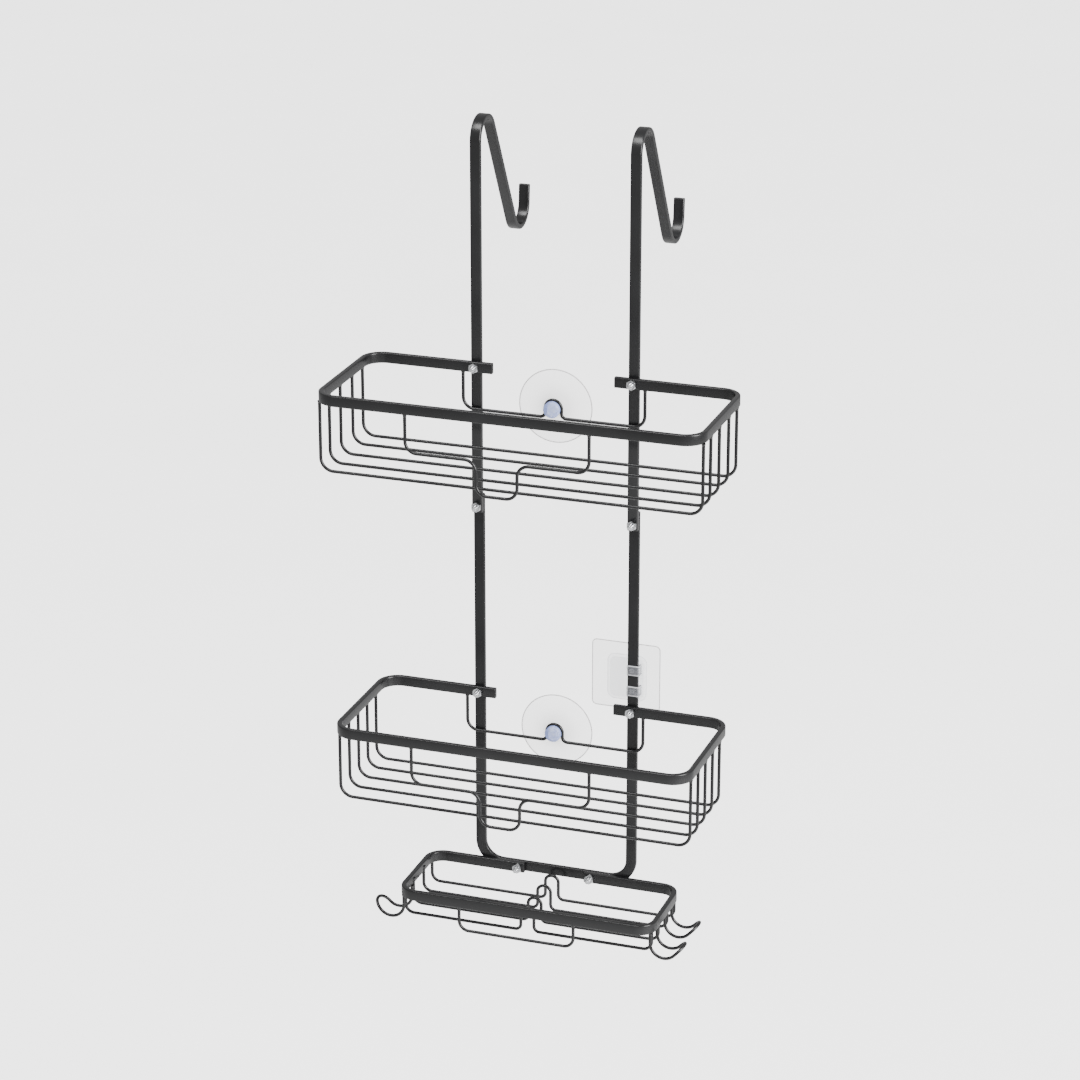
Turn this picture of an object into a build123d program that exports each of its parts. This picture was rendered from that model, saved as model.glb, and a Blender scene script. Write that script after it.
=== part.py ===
from build123d import *
from math import cos, radians, sin
import os

# Over-the-door shower caddy. Two flat-bar hooks carry the upper basket, and a flat-bar frame
# screwed to their feet carries the lower basket and the soap tray. All sizes are millimetres.
# Frame: +X to the user's right, +Y towards the door, +Z up. The origin is on the top edge of
# the door: midway between the two hooks, on the back faces of their uprights, at the inside of
# their bends.

os.makedirs("parts", exist_ok=True)

# ---- Stock -------------------------------------------------------------------------------
bar_width = 8.4          # wide face of the flat bar
bar_thick = 4.0
bar_edge = 0.9           # rounding along the bar's four long edges
wire_radius = 1.3

# ---- Over-the-door hooks ----------------------------------------------------------------
upright_x = 62.7         # centre of each upright, left and right
bend_radius = 16.0       # centre line of both bends of a hook
limb_angle = 29.0        # slope of the back limb, measured from vertical
limb_length = 100.7
tip_lean = 4.0           # the towel tip leans back by this much
tip_length = 14.0
hook_foot_z = -306.0
hook_y = -bar_thick / 2  # centre plane of the hook uprights

# ---- Lower frame --------------------------------------------------------------------------
frame_y = bar_thick / 2
frame_top_z = -292.0
frame_corner = 18.2      # centre line of the two bottom corners
lap_screw_z = -301.0

# ---- Baskets and tray ----------------------------------------------------------------------
rim_corner = 17.0        # outer corner radius of a basket rim
tray_corner = 15.0
rim_gap_half = 48.5      # half of the opening at the back of a basket rim
tray_gap_half = 25.0

upper_rim_z = -183.4     # top faces of the three rims
lower_rim_z = -451.7
tray_rim_z = -599.3

upper_size = (300.0, 115.0)
lower_size = (285.0, 115.0)
tray_size = (210.0, 79.0)
upper_back_y = -bar_thick   # back face of each rim's back bar
lower_back_y = 0.0

basket_depth = 63.0      # rim top to the centre of the floor wires
floor_corner = 10.0
wire_inset = 1.7         # a side leg's centre, inside the rim's outer face
upper_floor_y = (18.0, 39.0, 63.0, 85.0, 103.5)   # floor wires, forward of the back face
lower_floor_y = (25.0, 43.5, 62.5, 81.5, 100.5)

# Front guard wire of a basket, and the guard wire of the tray: a little left of centre.
guard_x = -6.0
guard_half = 71.2
guard_step = 38.0        # rim top to the level part
guard_drop = 65.0        # rim top to the bottom of the centre dip
dip_half = 16.0
guard_corner = 9.0

# Back wire of a basket, whose arch holds a suction cup.
back_wire_half = 72.4
back_wire_step = 38.0
arch_half = 6.4
arch_top = 24.0          # rim top to the top of the arch
arch_foot = 4.0

# Soap tray wires.
tray_floor_y = (8.0, 27.0, 49.5, 67.0)
tray_floor_step = 24.7   # rim top to the floor wires
tray_floor_corner = 7.0
tray_leg_half = 101.5
hump_half = 5.4
hump_rise = 20.0
hump_foot = 4.5
tray_guard_half = 47.0
tray_guard_drop = 28.0
tray_guard_corner = 8.0

# Side hooks of the tray: a wire hairpin that drops, curls out and up, and closes in an arc.
# There are two on the right and one, at the front, on the left.
side_hook_drop = 8.8
side_hook_curl = 11.0
side_hook_angle = 45.0
side_hook_half = 9.0
side_hook_front_y = -62.0
side_hook_back_y = -24.0

# ---- Fasteners ----------------------------------------------------------------------------
screw_radius = 2.0
hole_radius = 2.2
screw_length = 15.5
head_radius = 3.5
head_height = 2.0
nut_flats = 7.0
nut_height = 3.2
tray_screw_x = 30.2

# ---- Suction cups --------------------------------------------------------------------------
cup_radius = 29.3
cup_reach = 6.0          # rim of the cup, behind the centre of its wire
cup_hollow = 2.4         # depth of the hollow at the middle of the cup
knob_radius = 6.4
neck_radius = 4.7
knob_front = 7.0         # front of the knob, before the centre of its wire

# ---- Wall clip ------------------------------------------------------------------------------
clip_gap = 0.3           # play between the clip and the upright it grips
clip_plate = (31.4, 37.4, 2.2)
clip_plate_x = 56.7
clip_z = -430.7
lip_height = 8.0
lip_thick = 1.6
lip_spacing = 17.3
pad_size = (55.4, 55.4, 0.8)
pad_x = 55.4
pad_z = -430.0

# ---- Levels that follow ----------------------------------------------------------------------
upper_rim_centre = upper_rim_z - bar_width / 2
lower_rim_centre = lower_rim_z - bar_width / 2
tray_rim_centre = tray_rim_z - bar_width / 2


def bar_section(path, wide_dir):
    """The flat bar's rounded section at the start of a path, wide face along wide_dir."""
    start = Plane(origin=path @ 0, x_dir=wide_dir, z_dir=path % 0)
    with BuildSketch(start) as section:
        RectangleRounded(bar_width, bar_thick, bar_edge)
    return section.sketch


def screw_holes(places, y):
    """Clearance holes along Y through a bar whose centre plane is at y."""
    for x, z in places:
        with Locations(Plane(origin=(x, y, z), z_dir=(0, -1, 0))):
            Cylinder(hole_radius, 2 * bar_thick, mode=Mode.SUBTRACT)


def make_hook(x):
    """A flat bar bent over the door and up again into a towel tip."""
    with BuildPart() as hook:
        with BuildLine(Plane.YZ.offset(x)) as path:
            upright = Line((hook_y, hook_foot_z), (hook_y, bar_thick / 2 - bend_radius))
            over = JernArc(upright @ 1, upright % 1, bend_radius, limb_angle - 180)
            limb = Line(over @ 1, over @ 1 + (over % 1) * limb_length)
            under = JernArc(limb @ 1, limb % 1, bend_radius, 180 - limb_angle - tip_lean)
            Line(under @ 1, under @ 1 + (under % 1) * tip_length)
        sweep(sections=bar_section(path.wires()[0], (1, 0, 0)), path=path.wires()[0])
        screw_holes([(x, upper_rim_centre), (x, lap_screw_z)], hook_y)
    return hook


def make_rim(size, top_z, back_y, corner, gap_half, screw_x):
    """A flat bar bent on edge into a rounded rectangle that is open at the back."""
    width, depth = size
    half = width / 2 - bar_thick / 2
    back = back_y - bar_thick / 2
    front = back_y - depth + bar_thick / 2
    with BuildPart() as rim:
        with BuildLine(Plane.XY.offset(top_z - bar_width / 2)) as path:
            FilletPolyline(
                (-gap_half, back),
                (-half, back),
                (-half, front),
                (half, front),
                (half, back),
                (gap_half, back),
                radius=corner - bar_thick / 2,
            )
        sweep(sections=bar_section(path.wires()[0], (0, 0, 1)), path=path.wires()[0])
        ends = [(side * screw_x, top_z - bar_width / 2) for side in (-1, 1)]
        screw_holes(ends, back)
    return rim


def make_wire(points, radius, y):
    """A round wire bent in a plane that faces the user, through points (x, z)."""
    with BuildPart() as wire:
        with BuildLine(Plane(origin=(0, y, 0), x_dir=(1, 0, 0), z_dir=(0, -1, 0))) as path:
            FilletPolyline(*points, radius=radius)
        with BuildSketch(Plane(origin=path.wires()[0] @ 0, z_dir=path.wires()[0] % 0)):
            Circle(wire_radius)
        sweep(path=path.wires()[0])
    return wire


def make_side_hook(side, y):
    """A hairpin hook under the tray rim, on the left (-1) or right (1)."""
    leg_x = tray_leg_half * side
    top = tray_rim_z - bar_width
    curl_z = top - side_hook_drop
    curl_x = leg_x + side * side_hook_curl
    tilt = radians(side_hook_angle)
    tip_reach = side_hook_half

    def curl_point(angle, at_y):
        return (curl_x + side * side_hook_curl * sin(angle), at_y, curl_z - side_hook_curl * cos(angle))

    near = y - side_hook_half
    far = y + side_hook_half
    end = curl_point(tilt, y)
    tip = (end[0] + side * tip_reach * cos(tilt), y, end[2] + tip_reach * sin(tilt))
    bend = radians((side_hook_angle - 90) / 2)
    with BuildPart() as hook:
        with BuildLine() as path:
            Line((leg_x, near, top), (leg_x, near, curl_z))
            ThreePointArc((leg_x, near, curl_z), curl_point(bend, near), curl_point(tilt, near))
            ThreePointArc(curl_point(tilt, near), tip, curl_point(tilt, far))
            ThreePointArc(curl_point(tilt, far), curl_point(bend, far), (leg_x, far, curl_z))
            Line((leg_x, far, curl_z), (leg_x, far, top))
        with BuildSketch(Plane(origin=(leg_x, near, top), z_dir=(0, 0, -1))):
            Circle(wire_radius)
        sweep(path=path.wires()[0])
    return hook


def make_screw(x, z, head_y):
    """A pan-head screw from the back, its head resting at head_y."""
    with BuildPart() as screw:
        with BuildSketch(Plane(origin=(x, head_y, z), z_dir=(0, 1, 0))):
            Circle(head_radius)
        extrude(amount=head_height)
        fillet(screw.faces().sort_by(Axis.Y)[-1].edges(), 0.8)
        with BuildSketch(Plane(origin=(x, head_y, z), z_dir=(0, -1, 0))):
            Circle(screw_radius)
        extrude(amount=screw_length)
        chamfer(screw.faces().sort_by(Axis.Y)[0].edges(), 0.4)
        driver = Plane(origin=(x, head_y + head_height, z), z_dir=(0, -1, 0))
        with BuildSketch(driver):
            Rectangle(3.6, 0.8)
            Rectangle(0.8, 3.6)
        extrude(amount=1.1, mode=Mode.SUBTRACT)
    return screw


def make_nut(x, z, back_y):
    """A hexagon nut whose back face bears at back_y."""
    with BuildPart() as nut:
        with BuildSketch(Plane(origin=(x, back_y, z), z_dir=(0, -1, 0))):
            RegularPolygon(nut_flats / 2, 6, major_radius=False)
            Circle(screw_radius, mode=Mode.SUBTRACT)
        extrude(amount=nut_height)
        corners = nut_flats / 2 / cos(radians(30))
        with BuildSketch(Plane(origin=(x, back_y, z), z_dir=(0, -1, 0))):
            Circle(corners)
        extrude(amount=nut_height, mode=Mode.INTERSECT)
        crown = nut.faces().sort_by(Axis.Y)[0].outer_wire().edges()
        chamfer(crown, 0.35)
    return nut


def make_cup(wire_y, centre_z):
    """A soft suction cup: knob before the wire, neck through its arch, cup behind it."""
    rim_y = wire_y + cup_reach
    front = wire_y - knob_front
    wire_front = wire_y - wire_radius - 0.5
    wire_back = wire_y + wire_radius + 0.5
    with BuildPart() as cup:
        with BuildSketch(Plane.XY.offset(centre_z)):
            with BuildLine():
                Line((0, front), (knob_radius - 1.6, front))
                Line((knob_radius - 1.6, front), (knob_radius, front + 1.6))
                Line((knob_radius, front + 1.6), (knob_radius, wire_front))
                Line((knob_radius, wire_front), (neck_radius, wire_front))
                Line((neck_radius, wire_front), (neck_radius, wire_back))
                Line((neck_radius, wire_back), (neck_radius + 2.6, wire_back))
                Line((neck_radius + 2.6, wire_back), (neck_radius + 5.5, wire_back + 0.9))
                Line((neck_radius + 5.5, wire_back + 0.9), (cup_radius, rim_y - 1.0))
                Line((cup_radius, rim_y - 1.0), (cup_radius, rim_y))
                Line((cup_radius, rim_y), (cup_radius - 1.2, rim_y))
                Line((cup_radius - 1.2, rim_y), (neck_radius, rim_y - cup_hollow))
                Line((neck_radius, rim_y - cup_hollow), (0, rim_y - cup_hollow))
                Line((0, rim_y - cup_hollow), (0, front))
            make_face()
        revolve(axis=Axis((0, 0, centre_z), (0, 1, 0)))
    return cup


# ---- Hooks and frame -------------------------------------------------------------------------
for side_name, side in (("left", -1), ("right", 1)):
    hook_bar = make_hook(side * upright_x)
    hook_bar.part.label = f"hook_bar_{side_name}"
    export_step(hook_bar.part, f"parts/hook_bar_{side_name}.step")

with BuildPart() as lower_frame:
    with BuildLine(Plane(origin=(0, frame_y, 0), x_dir=(1, 0, 0), z_dir=(0, -1, 0))) as frame_path:
        FilletPolyline(
            (-upright_x, frame_top_z),
            (-upright_x, tray_rim_centre),
            (upright_x, tray_rim_centre),
            (upright_x, frame_top_z),
            radius=frame_corner,
        )
    frame_wire = frame_path.wires()[0]
    sweep(sections=bar_section(frame_wire, (1, 0, 0)), path=frame_wire)
    frame_holes = []
    for side in (-1, 1):
        frame_holes.append((side * upright_x, lap_screw_z))
        frame_holes.append((side * upright_x, lower_rim_centre))
        frame_holes.append((side * tray_screw_x, tray_rim_centre))
    screw_holes(frame_holes, frame_y)
lower_frame.part.label = "lower_frame"
export_step(lower_frame.part, "parts/lower_frame.step")

# ---- Rims --------------------------------------------------------------------------------------
upper_basket_rim = make_rim(upper_size, upper_rim_z, upper_back_y, rim_corner, rim_gap_half, upright_x)
upper_basket_rim.part.label = "upper_basket_rim"
export_step(upper_basket_rim.part, "parts/upper_basket_rim.step")

lower_basket_rim = make_rim(lower_size, lower_rim_z, lower_back_y, rim_corner, rim_gap_half, upright_x)
lower_basket_rim.part.label = "lower_basket_rim"
export_step(lower_basket_rim.part, "parts/lower_basket_rim.step")

soap_tray_rim = make_rim(tray_size, tray_rim_z, lower_back_y, tray_corner, tray_gap_half, tray_screw_x)
soap_tray_rim.part.label = "soap_tray_rim"
export_step(soap_tray_rim.part, "parts/soap_tray_rim.step")

# ---- Basket wires --------------------------------------------------------------------------------
baskets = {
    "upper": (upper_size, upper_rim_z, upper_back_y, upper_floor_y),
    "lower": (lower_size, lower_rim_z, lower_back_y, lower_floor_y),
}
for basket, (size, rim_z, back_y, floor_y) in baskets.items():
    leg_top = rim_z - bar_width
    leg_x = size[0] / 2 - wire_inset
    floor_z = rim_z - basket_depth

    for number, forward in enumerate(floor_y, start=1):
        floor_points = [(-leg_x, leg_top), (-leg_x, floor_z), (leg_x, floor_z), (leg_x, leg_top)]
        floor_wire = make_wire(floor_points, floor_corner, back_y - forward)
        floor_wire.part.label = f"{basket}_basket_wire_{number}"
        export_step(floor_wire.part, f"parts/{basket}_basket_wire_{number}.step")

    level = rim_z - guard_step
    dip = rim_z - guard_drop
    guard_points = [
        (guard_x - guard_half, leg_top),
        (guard_x - guard_half, level),
        (guard_x - dip_half, level),
        (guard_x - dip_half, dip),
        (guard_x + dip_half, dip),
        (guard_x + dip_half, level),
        (guard_x + guard_half, level),
        (guard_x + guard_half, leg_top),
    ]
    guard_y = back_y - size[1] + bar_thick / 2
    guard_wire = make_wire(guard_points, guard_corner, guard_y)
    guard_wire.part.label = f"{basket}_front_wire"
    export_step(guard_wire.part, f"parts/{basket}_front_wire.step")

    level = rim_z - back_wire_step
    arch = rim_z - arch_top
    back_points = [
        (-back_wire_half, leg_top),
        (-back_wire_half, level),
        (-arch_half, level),
        (-arch_half, arch),
        (arch_half, arch),
        (arch_half, level),
        (back_wire_half, level),
        (back_wire_half, leg_top),
    ]
    arch_round = arch_half - 0.05
    back_radii = [guard_corner, arch_foot, arch_round, arch_round, arch_foot, guard_corner]
    back_wire = make_wire(back_points, back_radii, back_y - bar_thick / 2)
    back_wire.part.label = f"{basket}_back_wire"
    export_step(back_wire.part, f"parts/{basket}_back_wire.step")

    cup = make_cup(back_y - bar_thick / 2, arch - arch_half)
    cup.part.label = f"{basket}_suction_cup"
    export_step(cup.part, f"parts/{basket}_suction_cup.step")

# ---- Tray wires ------------------------------------------------------------------------------------
tray_leg_top = tray_rim_z - bar_width
tray_floor_z = tray_rim_z - tray_floor_step
hump_z = tray_floor_z + hump_rise
for number, forward in enumerate(tray_floor_y, start=1):
    tray_points = [
        (-tray_leg_half, tray_leg_top),
        (-tray_leg_half, tray_floor_z),
        (-hump_half, tray_floor_z),
        (-hump_half, hump_z),
        (hump_half, hump_z),
        (hump_half, tray_floor_z),
        (tray_leg_half, tray_floor_z),
        (tray_leg_half, tray_leg_top),
    ]
    hump_round = hump_half - 0.05
    tray_radii = [tray_floor_corner, hump_foot, hump_round, hump_round, hump_foot, tray_floor_corner]
    tray_wire = make_wire(tray_points, tray_radii, lower_back_y - forward)
    tray_wire.part.label = f"soap_tray_wire_{number}"
    export_step(tray_wire.part, f"parts/soap_tray_wire_{number}.step")

tray_guard_z = tray_rim_z - tray_guard_drop
tray_guard_points = [
    (guard_x - tray_guard_half, tray_leg_top),
    (guard_x - tray_guard_half, tray_guard_z),
    (guard_x + tray_guard_half, tray_guard_z),
    (guard_x + tray_guard_half, tray_leg_top),
]
tray_guard_y = lower_back_y - tray_size[1] + bar_thick / 2
soap_tray_front_wire = make_wire(tray_guard_points, tray_guard_corner, tray_guard_y)
soap_tray_front_wire.part.label = "soap_tray_front_wire"
export_step(soap_tray_front_wire.part, "parts/soap_tray_front_wire.step")

side_hooks = {
    "left_front": (-1, side_hook_front_y),
    "right_front": (1, side_hook_front_y),
    "right_back": (1, side_hook_back_y),
}
for place, (side, y) in side_hooks.items():
    side_hook = make_side_hook(side, y)
    side_hook.part.label = f"side_hook_{place}"
    export_step(side_hook.part, f"parts/side_hook_{place}.step")

# ---- Screws and nuts ----------------------------------------------------------------------------------
joints = {
    "upper_basket": (upright_x, upper_rim_centre, 0.0, -2 * bar_thick),
    "frame_lap": (upright_x, lap_screw_z, bar_thick, -bar_thick),
    "lower_basket": (upright_x, lower_rim_centre, bar_thick, -bar_thick),
    "soap_tray": (tray_screw_x, tray_rim_centre, bar_thick, -bar_thick),
}
for joint, (x, z, head_y, nut_y) in joints.items():
    for side_name, side in (("left", -1), ("right", 1)):
        screw = make_screw(side * x, z, head_y)
        screw.part.label = f"{joint}_screw_{side_name}"
        export_step(screw.part, f"parts/{joint}_screw_{side_name}.step")
        nut = make_nut(side * x, z, nut_y)
        nut.part.label = f"{joint}_nut_{side_name}"
        export_step(nut.part, f"parts/{joint}_nut_{side_name}.step")

# ---- Wall clip: a moulded plate with two lips round the right upright, on a sticky pad ----------------
plate_front = bar_thick + clip_gap
wall_x = upright_x + bar_width / 2 + clip_gap
lip_left = upright_x - bar_width / 2
with BuildPart() as wall_clip:
    with BuildSketch(Plane(origin=(clip_plate_x, plate_front, clip_z), x_dir=(1, 0, 0), z_dir=(0, 1, 0))):
        RectangleRounded(clip_plate[0], clip_plate[1], 4.0)
    extrude(amount=clip_plate[2])
    fillet(wall_clip.faces().sort_by(Axis.Y)[0].edges(), 0.6)
    for offset in (-lip_spacing / 2, lip_spacing / 2):
        with BuildSketch(Plane.XY.offset(clip_z + offset - lip_height / 2)):
            with BuildLine():
                Polyline(
                    (wall_x, plate_front + 0.5),
                    (wall_x, -clip_gap),
                    (lip_left, -clip_gap),
                    (lip_left, -clip_gap - lip_thick),
                    (wall_x + lip_thick, -clip_gap - lip_thick),
                    (wall_x + lip_thick, plate_front + 0.5),
                    close=True,
                )
            make_face()
        extrude(amount=lip_height)
        with Locations(Plane(origin=(upright_x, -clip_gap - lip_thick, clip_z + offset), z_dir=(0, -1, 0))):
            Cylinder(1.7, 0.8, mode=Mode.SUBTRACT)
            Cylinder(0.8, 1.0)
wall_clip.part.label = "wall_clip"
export_step(wall_clip.part, "parts/wall_clip.step")

pad_front = plate_front + clip_plate[2]
with BuildPart() as wall_pad:
    with BuildSketch(Plane(origin=(pad_x, pad_front, pad_z), x_dir=(1, 0, 0), z_dir=(0, 1, 0))):
        RectangleRounded(pad_size[0], pad_size[1], 4.0)
    extrude(amount=pad_size[2])
wall_pad.part.label = "wall_pad"
export_step(wall_pad.part, "parts/wall_pad.step")
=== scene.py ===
# %% [markdown]
# # Over-the-door shower caddy
# The caddy is bent from two stocks only: a flat mild-steel bar for the hooks, the frame and the
# three rims, and a thin round wire for the floors and guards. Everything is welded, coated satin
# black, and joined with eight zinc-plated machine screws.
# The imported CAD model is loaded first. It fixes every size and every moving body, and each
# visible piece below is laid over its own CAD node.

# %% Load the frame
from math import ceil, cos, pi, radians, sin, tan

import bmesh
import bpy
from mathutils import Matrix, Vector


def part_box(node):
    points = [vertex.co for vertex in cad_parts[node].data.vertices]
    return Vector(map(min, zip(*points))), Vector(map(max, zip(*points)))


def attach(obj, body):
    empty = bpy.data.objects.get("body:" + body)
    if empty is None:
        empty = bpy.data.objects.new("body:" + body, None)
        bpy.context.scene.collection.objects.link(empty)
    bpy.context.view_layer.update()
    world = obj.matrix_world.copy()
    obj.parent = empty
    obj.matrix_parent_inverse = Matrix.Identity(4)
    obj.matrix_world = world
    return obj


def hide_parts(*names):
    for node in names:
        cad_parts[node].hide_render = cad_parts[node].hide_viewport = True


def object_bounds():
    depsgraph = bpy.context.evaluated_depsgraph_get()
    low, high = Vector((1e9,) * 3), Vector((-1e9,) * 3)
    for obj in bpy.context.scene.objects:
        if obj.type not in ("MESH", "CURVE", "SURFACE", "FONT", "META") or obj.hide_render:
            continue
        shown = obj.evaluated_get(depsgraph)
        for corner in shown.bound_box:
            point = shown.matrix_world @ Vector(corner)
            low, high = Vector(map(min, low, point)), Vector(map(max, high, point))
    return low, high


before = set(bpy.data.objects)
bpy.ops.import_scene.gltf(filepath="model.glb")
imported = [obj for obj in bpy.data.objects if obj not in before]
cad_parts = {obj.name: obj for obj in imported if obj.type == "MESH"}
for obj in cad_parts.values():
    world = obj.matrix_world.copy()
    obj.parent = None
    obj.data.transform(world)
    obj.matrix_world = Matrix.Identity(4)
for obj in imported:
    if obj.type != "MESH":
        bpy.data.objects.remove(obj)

start_low, start_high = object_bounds()
print("CAD size in mm:", [round(1000 * (b - a), 1) for a, b in zip(start_low, start_high)])

MM = 0.001
BAR_WIDTH = 8.4 * MM
BAR_THICK = 4.0 * MM
BAR_EDGE = 0.9 * MM
WIRE = 1.3 * MM


# %% [markdown]
# ## Bending stock along a path
# A real wire bender feeds straight stock and rolls it round a die, so each path is straight runs
# joined by tangent arcs. The same method works here: a corner list becomes a fine centre line,
# and a cross-section is carried along it without twisting. Carrying the section keeps its size
# through every bend, which a scaled or skinned curve wouldn't do.

# %% Paths and sweeps
def bent_path(corners, radii, step=radians(6)):
    """Centre line through the corner points, with a tangent arc of its own radius at each bend."""
    corners = [Vector(c) for c in corners]
    line = [corners[0]]
    for before, corner, after, radius in zip(corners, corners[1:], corners[2:], radii):
        inward = (corner - before).normalized()
        outward = (after - corner).normalized()
        turn = inward.angle(outward)
        start = corner - inward * radius * tan(turn / 2)
        towards = (outward - inward * inward.dot(outward)).normalized()
        count = max(4, ceil(turn / step))
        for i in range(count + 1):
            a = turn * i / count
            line.append(start + inward * radius * sin(a) + towards * radius * (1 - cos(a)))
    line.append(corners[-1])
    return line


def bar_section(width=BAR_WIDTH, thick=BAR_THICK, edge=BAR_EDGE, steps=5):
    """Rounded rectangle, as (along the wide face, along the thickness)."""
    section = []
    for quarter, (su, sv) in enumerate(((1, 1), (-1, 1), (-1, -1), (1, -1))):
        for i in range(steps + 1):
            a = (quarter + i / steps) * pi / 2
            u = su * (width / 2 - edge) + edge * cos(a)
            v = sv * (thick / 2 - edge) + edge * sin(a)
            section.append((u, v))
    return section


def round_section(radius=WIRE, count=20):
    return [(radius * cos(2 * pi * i / count), radius * sin(2 * pi * i / count)) for i in range(count)]


def sweep(mesh, line, section, side, end_round):
    """Adds a closed solid to a bmesh: the section along the line, its first axis along side."""
    tangents = []
    for i in range(len(line)):
        a = line[max(i - 1, 0)]
        b = line[min(i + 1, len(line) - 1)]
        tangents.append((b - a).normalized())
    half_u = max(u for u, v in section)
    half_v = max(v for u, v in section)
    stations = []
    u_axis = Vector(side)
    for i, (point, tangent) in enumerate(zip(line, tangents)):
        u_axis = (u_axis - tangent * tangent.dot(u_axis)).normalized()
        v_axis = tangent.cross(u_axis)
        if i == 0:
            for k in range(4):
                a = pi / 2 * k / 4
                inset = end_round * (1 - sin(a))
                stations.append((point + tangent * end_round * (1 - cos(a)), u_axis, v_axis, inset))
        elif i == len(line) - 1:
            for k in range(4):
                a = pi / 2 * k / 4
                inset = end_round * (1 - cos(a))
                stations.append((point - tangent * end_round * (1 - sin(a)), u_axis, v_axis, inset))
            stations.append((point, u_axis, v_axis, end_round))
        if i == 0:
            stations.append((point + tangent * end_round, u_axis, v_axis, 0.0))
        elif i < len(line) - 1:
            stations.append((point, u_axis, v_axis, 0.0))
    rings = []
    for point, u_axis, v_axis, inset in stations:
        su = 1 - inset / half_u
        sv = 1 - inset / half_v
        rings.append([mesh.verts.new(point + u_axis * u * su + v_axis * v * sv) for u, v in section])
    count = len(section)
    for a, b in zip(rings, rings[1:]):
        for i in range(count):
            j = (i + 1) % count
            mesh.faces.new((a[i], a[j], b[j], b[i]))
    mesh.faces.new(list(reversed(rings[0])))
    mesh.faces.new(rings[-1])


def finish_piece(name, mesh, material, body, nodes=(), sharp=40):
    """Turns a bmesh into a finished object on its CAD body."""
    bmesh.ops.recalc_face_normals(mesh, faces=mesh.faces)
    data = bpy.data.meshes.new(name)
    mesh.to_mesh(data)
    mesh.free()
    data.polygons.foreach_set("use_smooth", [True] * len(data.polygons))
    data.set_sharp_from_angle(angle=radians(sharp))
    piece = bpy.data.objects.new(name, data)
    bpy.context.scene.collection.objects.link(piece)
    data.materials.append(material)
    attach(piece, body)
    if nodes:
        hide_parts(*nodes)
    return piece


def revolve(mesh, profile, centre, count=96):
    """Adds a closed solid of revolution about Y. The profile (radius, y) starts and ends on the axis."""
    cx, cz = centre
    first = mesh.verts.new((cx, profile[0][1], cz))
    last = mesh.verts.new((cx, profile[-1][1], cz))
    rings = []
    for radius, y in profile[1:-1]:
        ring = []
        for i in range(count):
            a = 2 * pi * i / count
            ring.append(mesh.verts.new((cx + radius * cos(a), y, cz + radius * sin(a))))
        rings.append(ring)
    for i in range(count):
        j = (i + 1) % count
        mesh.faces.new((first, rings[0][i], rings[0][j]))
        mesh.faces.new((last, rings[-1][j], rings[-1][i]))
        for a, b in zip(rings, rings[1:]):
            mesh.faces.new((a[i], b[i], b[j], a[j]))


def closed_bead(mesh, points, radius, count=10):
    """Adds a closed round bead along a loop of points in a plane that faces Y."""
    rings = []
    total = len(points)
    for i, point in enumerate(points):
        tangent = (points[(i + 1) % total] - points[i - 1]).normalized()
        out = tangent.cross(Vector((0, 1, 0)))
        ring = []
        for k in range(count):
            a = 2 * pi * k / count
            ring.append(mesh.verts.new(point + out * radius * cos(a) + Vector((0, radius * sin(a), 0))))
        rings.append(ring)
    for i in range(total):
        a, b = rings[i], rings[(i + 1) % total]
        for k in range(count):
            m = (k + 1) % count
            mesh.faces.new((a[k], b[k], b[m], a[m]))


def smooth_profile(points, rounds, steps=5):
    """A profile (radius, y) with its corners rounded."""
    line = bent_path([(r, y, 0) for r, y in points], rounds, step=radians(90 / steps))
    return [(max(p.x, 0.0), p.y) for p in line]


print("section points:", len(bar_section()), "bar,", len(round_section()), "wire")


# %% [markdown]
# ## Finishes
# The steel is dip or powder coated. A coating that thin flows before it cures, so it is satin
# rather than matt, with a faint orange-peel ripple about a millimetre across, and its gloss
# drifts slowly over the part. Noise in real millimetres gives both: a fine one feeds the bump,
# a coarse one the roughness and the tone. One node group holds the effect, so that every
# black piece has the same coat.

# %% Black coating
def node_group(name, outputs):
    group = bpy.data.node_groups.new(name, "ShaderNodeTree")
    for label, kind in outputs:
        group.interface.new_socket(label, in_out="OUTPUT", socket_type=kind)
    end = group.nodes.new("NodeGroupOutput")
    return group, end


def noise(group, scale, detail, coordinate, stretch=None):
    node = group.nodes.new("ShaderNodeTexNoise")
    node.inputs["Scale"].default_value = scale
    node.inputs["Detail"].default_value = detail
    source = coordinate.outputs["Object"]
    if stretch:
        mapping = group.nodes.new("ShaderNodeMapping")
        mapping.inputs["Scale"].default_value = stretch
        group.links.new(source, mapping.inputs["Vector"])
        source = mapping.outputs["Vector"]
    group.links.new(source, node.inputs["Vector"])
    return node


def ramp(group, source, low, high):
    """Maps a 0-1 value to low-high."""
    node = group.nodes.new("ShaderNodeMapRange")
    node.inputs["From Min"].default_value = 0.3
    node.inputs["From Max"].default_value = 0.7
    node.inputs["To Min"].default_value = low
    node.inputs["To Max"].default_value = high
    group.links.new(source, node.inputs["Value"])
    return node


def tint(group, factor, dark, light):
    node = group.nodes.new("ShaderNodeMix")
    node.data_type = "RGBA"
    node.inputs["A"].default_value = (*dark, 1)
    node.inputs["B"].default_value = (*light, 1)
    group.links.new(factor, node.inputs["Factor"])
    return node


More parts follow.
